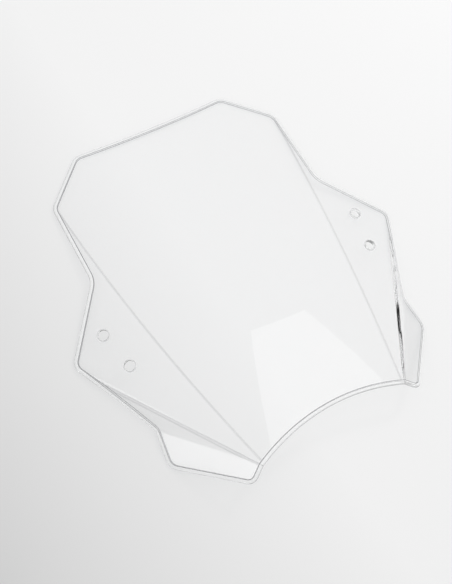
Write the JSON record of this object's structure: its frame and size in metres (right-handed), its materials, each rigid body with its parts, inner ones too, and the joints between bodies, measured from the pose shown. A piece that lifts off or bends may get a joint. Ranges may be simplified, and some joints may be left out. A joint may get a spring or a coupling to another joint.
{
  "type": "windshield screen",
  "caption": "Clear motorcycle windshield screen: a crowned panel with folded wings and skirts, bolt holes in two ears and an arc cut over the headlight.",
  "frame": {"origin": "centre of the outline seen from above, on the surface that the screen lies on with its hollow side down", "axes": "+X across the screen, +Y along the screen to its top edge, +Z out of the crowned face"},
  "size_m": [0.355, 0.3584, 0.0386],
  "materials": {
    "clear_acrylic": "clear, polished both sides"
  },
  "bodies": {
    "root": {"screen": "clear_acrylic"}
  },
  "joints": []
}
